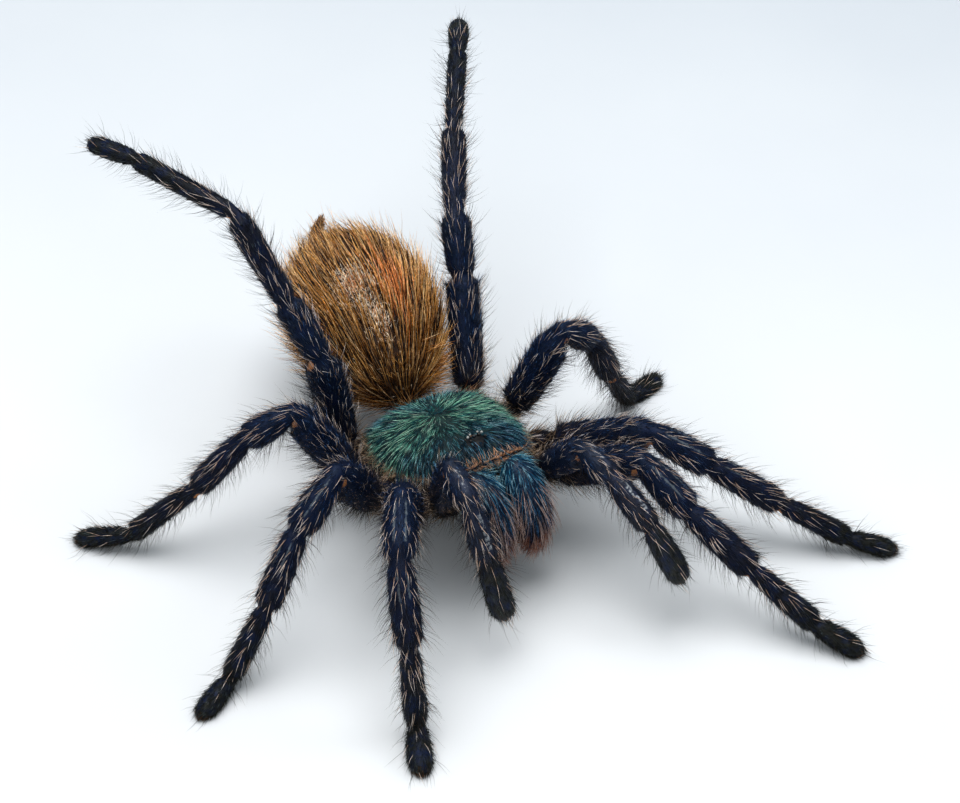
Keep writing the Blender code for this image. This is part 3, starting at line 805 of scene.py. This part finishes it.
def make_limb(name, pose, rng):
    kind, _ = name.rsplit("_", 1)
    palp = kind == "pedipalp"
    rows = fill_in(limb_stations(name, *pose), STATION_SPACING)

    def membrane(reach, turn, _):
        """Bare membrane shows under the knee and under the joint of tibia and metatarsus."""
        segment = reach * SEGMENTS
        knee = np.minimum(np.abs(segment - 2.0), np.abs(segment - 4.0) * 1.3)
        below = rise(-np.sin(turn), -0.35, 0.5)
        return (1 - rise(knee, 0.02, 0.1)) * below

    def bare_line_highlight(reach, turn, _):
        """Two bare shiny lines along the top of the patella and tibia, and short ones on the metatarsus,
        painted pale as a highlight.
        """
        across = np.abs(np.degrees(turn) - 90)
        line = np.clip(1 - np.abs(across - (5 if palp else 22)) / 10, 0, 1)
        number = np.floor(reach * SEGMENTS)
        part = reach * SEGMENTS - number
        end = 0.8 if palp else 0.5
        patella = (number == 2) * hump(part, 0.12, 0.2, 0.75, 0.9)
        tibia = (number == 3) * hump(part, 0.08, 0.15, end - 0.1, end + 0.1)
        metatarsus = (number == 4) * hump(part, 0.08, 0.15, 0.25, 0.4)
        if palp:
            return line * (0.7 * patella + 0.95 * tibia)
        return line * (patella + tibia + 0.6 * metatarsus) * (kind in ("leg_1", "leg_2"))

    def off_joints(reach, turn, _):
        bare = np.maximum(membrane(reach, turn, _), bare_line_highlight(reach, turn, _))
        covered = 1 - 0.97 * rise(bare, 0.5, 0.8)
        return covered * (rise(joint_distance(reach), 0.0, 0.03) + 0.15)

    def on_sides(reach, turn, points):
        """Pale hair: in rows on the upper sides, thin along the top, few on the last segments."""
        upper = np.clip(np.sin(turn) + 0.75, 0.05, 1.2)
        rows_of_hair = 0.35 + np.clip(np.sin(turn * 7 + 1.0), 0, 1)
        few = 1 - 0.75 * rise(reach, 0.66, 0.84)
        return upper * rows_of_hair * few * off_joints(reach, turn, points)

    def toward_below(reach, turn, points):
        few = 1 - 0.7 * rise(reach, 0.8, 0.9)
        return (0.6 + np.clip(-np.sin(turn), 0, 1)) * few * off_joints(reach, turn, points)

    def hue(place):
        return 0.6 + 0.4 * place["reach"] if kind == "leg_4" else place["reach"]

    def hanging(reach, turn, points):
        """Long cream hair that hangs from the sides and the underside of the femur and patella."""
        return hump(reach, 0.14, 0.2, 0.36, 0.48) * np.clip(0.35 - np.sin(turn), 0, 1.3)

    def at_pads(reach, turn, points):
        """Dense short hair under the last two segments and all round the tarsus."""
        below = np.clip(0.3 - np.sin(turn), 0, 1.3)
        return rise(reach, 0.72, 0.86) * (0.25 + below)

    surface = tube(rows, LIMB_SIDES, LIMB_INSET)
    coat = Coat(rng, surface, LIMB_HAIR, membrane, bare_line_highlight, PALP_SHARE if palp else 1.0)
    coat.grow("pile", off_joints, zone=hue)
    coat.grow("long pile", off_joints)
    coat.grow("pale", on_sides)
    coat.grow("setae", toward_below)
    coat.grow("coxa", lambda reach, *_: 1.0 - rise(reach, 0.15, 0.24))
    coat.grow("shaggy", hanging, droop=0.45, tint=(0, 0.6))
    coat.grow("pads", at_pads)
    skin = "palp_skin" if palp else "limb_skin"
    materials = [skin, "limb_fur", "limb_setae", "pale_hair", "tan_hair", "pad_hair"]
    make_piece(name, coat.parts, materials)


# Carapace and the body under it

def head_share(forward):
    """How much of the head's height applies here: 0 at the rear of the carapace and 1 at its front."""
    return rise(forward, 1.0, 11.0)


def rim_height(across, forward):
    raised = RIM_HEIGHTS[1] - RIM_HEIGHTS[0] - RIM_ARCH * np.minimum(1.0, (across / RIM_ARCH_HALF_WIDTH) ** 4)
    return RIM_HEIGHTS[0] + raised * head_share(forward)


def carapace_top(across, forward, share):
    """Height of the upper face: a dome with a raised head, a fovea, radial grooves and an eye mound."""
    rim = rim_height(across, forward)
    crown = CROWN_HEIGHTS[0] + (CROWN_HEIGHTS[1] - CROWN_HEIGHTS[0]) * head_share(forward + 3.0)
    height = rim + (crown - rim) * np.maximum(1 - share ** 2.4, 0.0) ** 0.7
    height = height - FOVEA_DEPTH * np.exp(-((across / 1.6) ** 2 + ((forward - FOVEA_FORWARD) / 0.6) ** 2))
    out = np.hypot(across, forward - FOVEA_FORWARD)
    turn = np.arctan2(np.abs(across), forward - FOVEA_FORWARD)
    groove = np.maximum(0.0, np.cos(5.0 * (turn - radians(38)))) ** 6
    height = height - GROOVE_DEPTH * groove * np.sin(pi * np.minimum(1.0, out / 10.0)) * (1 - share ** 6)
    mound = np.hypot(across / 1.25, forward - TUBERCLE_FORWARD) / TUBERCLE_RADIUS
    return height + TUBERCLE_HEIGHT * np.exp(-(mound ** 3))


def carapace_surface():
    points = np.array(CARAPACE_OUTLINE)
    half = curve(np.array([points[1] * (-1, 1), *points, points[-2] * (-1, 1)]), CARAPACE_SIDES // 2)
    outline = np.concatenate([half, half[-2:0:-1] * (-1, 1)])
    grid, reach = [], []
    for i in range(1, CARAPACE_RINGS + 1):
        share = (i / CARAPACE_RINGS) ** 0.8
        plan = CARAPACE_MIDDLE + (outline - CARAPACE_MIDDLE) * share
        height = carapace_top(plan[:, 0], plan[:, 1], share) - BODY_INSET * 0.6
        grid.append(on_body(np.column_stack([plan, height])))
        reach.append(share * RIM_REACH)
    for share, drop in ((1.005, 0.25), (0.995, 0.5), (0.97, 0.62), (0.95, 1.0), (0.9, 1.8)):
        plan = CARAPACE_MIDDLE + (outline - CARAPACE_MIDDLE) * share
        grid.append(on_body(np.column_stack([plan, rim_height(plan[:, 0], plan[:, 1]) - drop])))
        reach.append(RIM_REACH + 0.05 * drop)
    turn = np.arctan2(outline[:, 1], outline[:, 0])
    span = 1 / np.hypot(np.cos(turn) / STERNUM_HALF_WIDTH, np.sin(turn) / STERNUM_HALF_LENGTH)
    under = [
        (1.25, 3.8), (1.1, 2.8), (1.0, 1.8), (0.95, 0.8), (0.85, 0.25), (0.7, 0), (0.35, -0.15), (0.1, -0.2),
    ]
    for k, (share, height) in enumerate(under):
        across, forward = share * span * np.cos(turn), share * span * np.sin(turn)
        grid.append(on_body(np.column_stack([across, forward, np.full(len(turn), STERNUM_DEPTH + height)])))
        reach.append(UNDER_REACH + (1 - UNDER_REACH) * k / (len(under) - 1))
    return Surface(np.array(grid), reach)


def make_cephalothorax(rng):
    left, forward, up = body_axes()
    fovea = on_body((0.0, FOVEA_FORWARD, 3.0))
    mound = on_body((0.0, TUBERCLE_FORWARD, 4.8))
    behind_mound = on_body((0.0, TUBERCLE_FORWARD - 0.5, 4.8))

    def ahead(places):
        return (places - BODY_CENTRE) @ forward

    def aside(places):
        return (places - BODY_CENTRE) @ left

    def near_mound(reach, turn, places):
        return 1 - rise(np.linalg.norm(places - mound, axis=-1), 1.4, 2.4)

    def on_top(reach, turn, places):
        near_eyes = np.linalg.norm(places - behind_mound, axis=-1)
        return (reach < RIM_REACH) * rise(near_eyes, 0.7, 1.3)

    def at_front(reach, turn, places):
        return (reach > RIM_REACH) * (reach < 0.635) * (ahead(places) > 10.0) * (np.abs(aside(places)) < 5.8)

    def at_rim(reach, turn, places):
        return (reach > 0.58) * (reach < 0.64) * (1 - 0.97 * (at_front(reach, turn, places) > 0))

    def at_fovea(reach, turn, places):
        return np.linalg.norm(places - fovea, axis=-1) < 1.3

    def at_rear(reach, turn, places):
        return (reach > 0.58) * (reach < 0.64) * (ahead(places) < -7.5) * (aside(places) > -3.0)

    def at_tuft(reach, turn, places):
        """A small pale tuft just behind the eyes."""
        away = np.hypot(aside(places) - 0.2, ahead(places) - TUBERCLE_FORWARD + 1.5)
        return (reach < RIM_REACH) * np.exp(-(away / 0.45) ** 2)

    def outward(place):
        return place["point"] - fovea

    def hue(place):
        """Green in the middle, bluer toward the rear rim and over the head."""
        return np.clip(0.48 + 0.055 * ahead(place["point"]) + 0.14 * wander(place["point"], 3.7, 1.3), 0, 1)

    def strand_tints(place):
        """Bright strands among dark ones, fewer on the head; the brightest end in tips painted as highlights.
        """
        count = place["count"]
        strands = 0.5 + 0.5 * wander(place["point"], 1.9, 0.9)
        light = rng.random(count) < 0.2 + 0.56 * strands - 0.16 * rise(ahead(place["point"]), 1.0, 6.0)
        return np.where(light, 0.7 + 0.3 * rng.random(count), 0.42 * rng.random(count))

    coat = Coat(rng, carapace_surface(), CARAPACE_HAIR, near_mound)
    coat.grow("pile", on_top, lay=outward, vary=0.4, tint=(0, 0.38), zone=hue)
    coat.grow("strands", on_top, lay=outward, vary=0.4, tint=strand_tints, zone=hue)
    coat.grow("fovea", at_fovea, tint=(0, 0.6))
    coat.grow("rim", at_rim, lay=outward, droop=0.2)
    coat.grow("rear", at_rear, lay=outward, tint=(0, 0.4))
    coat.grow("front", at_front, lay=0.35 * forward + up, tint=(0.1, 1.0))
    coat.grow("below", lambda reach, *_: reach > 0.68, lay=-up, droop=0.5)
    for side in (1, -1):
        # Pale eyes take the material of painted glints.
        for across, distance, radius, pale in EYES:
            seat = TUBERCLE_FORWARD + distance
            height = carapace_top(np.array(side * across), np.array(seat), np.array(0.3)) - 0.12
            centre = on_body((side * across, seat, float(height)))
            coat.parts.append((*bead(centre, radius, up), 4 + pale))
    coat.grow("tuft", at_tuft, tint=(0.3, 1.0))
    materials = ["carapace_skin", "carapace_hair", "fringe_hair", "tan_hair", "eye_dark", "eye_painted_glint"]
    make_piece("cephalothorax", coat.parts, materials)


def bead(centre, radius, up):
    """A small eye: a dome of rings round the direction up."""
    rows = []
    for i in range(1, EYE_STEPS):
        angle = pi * i / EYE_STEPS
        girth = radius * sin(angle)
        rows.append((*(centre - up * radius * cos(angle)), *up, girth, girth, SEGMENTS / 2))
    return tube(np.array(rows), EYE_SIDES, 0.0).mesh()


# Abdomen

def abdomen_rows():
    axis = direction(90, ABDOMEN_RISE)
    centre = BODY_CENTRE + ABDOMEN_CENTRE
    nose = centre - axis * ABDOMEN_LENGTH / 2
    waist = WAIST_RADIUS + BODY_INSET
    rows = [(*(BODY_CENTRE + WAIST_START), *direction(90, 30), waist, waist, 0.0)]
    for i in range(1, ABDOMEN_RINGS + 1):
        share = (1 - cos(pi * i / (ABDOMEN_RINGS + 1))) / 2
        out = abs(2 * share - 1)
        girth = (1 - out ** 2.2) ** 0.52 * (0.94 + 0.12 * sin(pi * share * 0.9))
        place = nose + axis * ABDOMEN_LENGTH * share - (0.0, 0.0, ABDOMEN_DROOP * (1 - share) ** 8)
        size = ABDOMEN_HALF_WIDTH * girth, ABDOMEN_HALF_HEIGHT * girth
        rows.append((*place, *axis, *size, SEGMENTS * share))
    return np.array(rows)


def patch(reach, turn, middle, half):
    """1 in the middle of an oval patch of the abdomen, and less away from it."""
    across = (np.degrees(turn) - middle[1] + 180) % 360 - 180
    return np.exp(-(((reach - middle[0]) / half[0]) ** 2 + (across / half[1]) ** 2))


def make_abdomen(rng):
    surface = tube(abdomen_rows(), ABDOMEN_SIDES, BODY_INSET)
    surface.reach = np.clip(surface.reach, 0.0, 1.0)

    def bald(reach, turn):
        return np.maximum(patch(reach, turn, *BALD_PATCH), 0.8 * patch(reach, turn, *BALD_TAIL))

    def rust(place):
        return patch(place["reach"], place["turn"], *RUST_PATCH)

    def zones(place):
        """Colour zones: gold all over, darker in front and below, and rust in its patch."""
        reach, turn = place["reach"], place["turn"]
        zone = GOLD_ZONE - 0.1 * rise(0.3 - reach, 0.0, 0.25) - 0.14 * rise(reach, 0.82, 0.95)
        zone = zone - 0.12 * rise(-np.sin(turn), 0.0, 0.8)
        zone = zone + rng.normal(0, 0.05, len(reach)) - 0.1 * (wander(place["point"], 4.0) > 0.45)
        return np.where(rng.random(len(reach)) < 1.2 * rust(place), RUST_ZONE, zone)

    def outside_bald(reach, turn, _):
        """Hair is thin in the bald patch and in front of it, where its tips would reach over the patch."""
        return 1.02 - 0.88 * np.maximum(bald(reach, turn), bald(reach + 0.09, turn))

    def inside_bald(reach, turn, _):
        return bald(reach, turn) + 0.002

    def at_side(reach, turn, _):
        return (reach < 0.15) * (reach > 0.03) * np.exp(-((np.degrees(turn) - 190) / 35) ** 2)

    def combed(place):
        """Hair lies toward the rear, and up over the front end."""
        share = 1 - rise(place["reach"], 0.08, 0.36)
        return place["along"] + 1.6 * share[:, None] * np.array((0.0, 0.25, 1.0))

    def gold_zones(place):
        """Most long hairs are bright."""
        place["bright"] = rng.random(place["count"]) < 0.8
        return zones(place)

    def gold_tints(place):
        count = place["count"]
        return np.where(place["bright"], 0.5 + 0.5 * rng.random(count), 0.2 * rng.random(count))

    def bald_tints(place):
        """Short hair is reddish in the middle of the bald patch and pale round it."""
        count = place["count"]
        in_middle = patch(place["reach"], place["turn"], *BALD_MIDDLE)
        return np.where(rng.random(count) < 0.15 + 0.7 * in_middle, 0.3, 0.6 + 0.4 * rng.random(count))

    coat = Coat(rng, surface, ABDOMEN_HAIR)
    coat.grow("pile", None, combed, zones,
              lambda place: 0.36 * rng.random(place["count"]) + 0.35 * rust(place))
    coat.grow("dark", outside_bald, combed, lambda place: zones(place) - 0.15, (0, 0.4))
    coat.grow("gold", outside_bald, combed, gold_zones, gold_tints, vary=0.35)
    coat.grow("side", at_side, (1.0, 0.3, 0.3), 0.58, (0.45, 1.0))
    coat.grow("bald", inside_bald, tint=bald_tints)
    coat.grow("stray", outside_bald, combed, zones, (0.3, 0.8))
    coat.grow("waist", lambda reach, *_: (reach < 0.1) & (reach > 0.03), zone=GOLD_ZONE)
    make_piece("abdomen", coat.parts, ["abdomen_skin", "gold_hair", "bald_hair"])


def make_spinneret(name, root, along, rng):
    along = unit(np.array(along))
    start = BODY_CENTRE + np.array(root)
    rows = []
    for share, girth in SPINNERET_GIRTHS:
        radius = SPINNERET_RADIUS * girth
        place = start + along * SPINNERET_LENGTH * share
        rows.append((*place, *along, radius, radius, SEGMENTS * share))
    coat = Coat(rng, tube(fill_in(np.array(rows), 0.12), FANG_SIDES, 0.08), SPINNERET_HAIR)
    coat.grow("pile", zone=lambda place: 0.3 + 0.2 * rng.random(place["count"]), tint=(0, 0.65))
    make_piece(name, coat.parts, ["abdomen_skin", "gold_hair"])


# Jaws and fangs

def body_tube_rows(side, stations):
    """Stations given on the body, turned into rows."""
    centres = on_body(np.array([s[:3] for s in stations]), side)
    rows = []
    for i, station in enumerate(stations):
        along = unit(centres[min(i + 1, len(centres) - 1)] - centres[max(i - 1, 0)])
        rows.append((*centres[i], *along, station[3], station[-1], SEGMENTS * i / (len(stations) - 1)))
    return np.array(rows)


def curve_rows(rows, steps):
    """Rows on a curve through the given ones."""
    before, after = 2 * rows[0] - rows[1], 2 * rows[-1] - rows[-2]
    return curve(np.array([before, *rows, after]), steps * (len(rows) - 1))


def make_jaw(name, side, rng):
    rows = curve_rows(body_tube_rows(side, JAW_STATIONS), 7)
    left, _, up = body_axes()

    def outside(reach, *_):
        return (reach > 0.06).astype(float)

    def flow(place):
        """Hair flows down the jaw."""
        return place["along"] * 0.8 - up * 0.6

    def flow_aside(place):
        return flow(place) + left * side * 0.1

    def blueness(most, spread):
        """Bright blue near the top of the jaw, dark lower down."""
        def tints(place):
            noise = spread * rng.normal(size=place["count"])
            return np.clip(most - 1.25 * place["reach"] + noise, 0, 1)

        return tints

    coat = Coat(rng, tube(rows, JAW_SIDES, LIMB_INSET), JAW_HAIR)
    coat.grow("pile", outside, flow, tint=blueness(0.82, 0.12))
    coat.grow("blue", outside, flow, tint=blueness(1.28, 0.25), droop=0.15)
    coat.grow("pale", lambda reach, *_: rise(reach, 0.25, 0.45), flow_aside, droop=0.3)
    coat.grow("red", lambda reach, *_: rise(reach, 0.62, 0.85), flow, droop=0.5)
    make_piece(name, coat.parts, ["jaw_skin", "jaw_fur", "jaw_hair", "red_hair"])


def make_fang(name, side):
    rows = curve_rows(body_tube_rows(side, FANG_STATIONS), 8)
    make_piece(name, [(*tube(rows, FANG_SIDES, 0.0).mesh(), 0)], ["fang_skin"])


# Floor, light and camera

def make_floor():
    """A plain pale sheet, a little greyer and bluer at the back as painted shade, with faint smudges."""
    half = FLOOR_SIZE / 2
    mesh = bpy.data.meshes.new("floor")
    corners = [(-half, -half, 0), (half, -half, 0), (half, half, 0), (-half, half, 0)]
    mesh.from_pydata(corners, [], [(0, 1, 2, 3)])
    floor = new_object("floor", mesh)
    painter = Painter("floor")
    place = painter.split(painter.place())
    # Painted shade: the floor darkens with distance toward the back and the specimen's left.
    distance = painter.compute("MULTIPLY_ADD", place[1], 2.9, 0.42)
    distance = painter.compute("MULTIPLY_ADD", place[0], 2.1, distance)
    veil = painter.ramp(painter.noise(0.012, 5.0), [(0.35, 0.955, 0.96, 0.97), (0.65, *WHITE)])
    colour = painter.blend(1.0, painter.ramp(distance, FLOOR_SHADE_COLOURS), veil, "MULTIPLY")
    painter.add_bump(painter.noise(0.8), 0.02, 0.3)
    mesh.materials.append(painter.finish(colour, 0.7, 0.0, 0.2))


def add_light(name, place, target, size, power, colour):
    data = bpy.data.lights.new(name, "AREA")
    data.shape = "DISK"
    data.size = size
    data.energy = power
    data.color = colour
    light = new_object(name, data)
    light.location = place
    light.rotation_euler = (Vector(target) - Vector(place)).to_track_quat("-Z", "Y").to_euler()


def make_lights():
    world = bpy.data.worlds.new("studio")
    bpy.context.scene.world = world
    world.use_nodes = True
    background = world.node_tree.nodes["Background"]
    background.inputs["Color"].default_value = SKY_COLOUR
    background.inputs["Strength"].default_value = SKY_STRENGTH
    for name, light in LIGHTS.items():
        add_light(name, *light)


def make_camera():
    heading, lift = radians(CAMERA_HEADING), radians(CAMERA_LIFT)
    back = Vector((sin(heading) * cos(lift), -cos(heading) * cos(lift), sin(lift)))
    right = Vector((cos(heading), sin(heading), 0.0))
    up = back.cross(right)
    place = Vector(BODY_CENTRE)
    for distance, axis in zip(CAMERA_OFFSET, (right, up, back)):
        place += distance * axis
    data = bpy.data.cameras.new("camera")
    data.lens = CAMERA_LENS
    data.sensor_width = SENSOR_WIDTH
    data.sensor_fit = "HORIZONTAL"
    camera = new_object("camera", data)
    turned = Matrix((right, up, back)).transposed().to_4x4()
    camera.matrix_world = Matrix.Translation(place * MM) @ turned
    bpy.context.scene.camera = camera


def main():
    rng = np.random.default_rng(SEED)
    make_floor()
    make_lights()
    make_camera()
    make_cephalothorax(rng)
    make_abdomen(rng)
    for name, (root, along) in SPINNERETS.items():
        make_spinneret(name, root, along, rng)
    for side_name, side in (("left", 1), ("right", -1)):
        make_jaw("jaw_" + side_name, side, rng)
        make_fang("fang_" + side_name, side)
    for name, pose in LIMB_POSES.items():
        make_limb(name, pose, rng)
    bpy.context.scene.view_settings.view_transform = "Standard"
    bpy.context.scene.view_settings.look = "Medium High Contrast"


main()
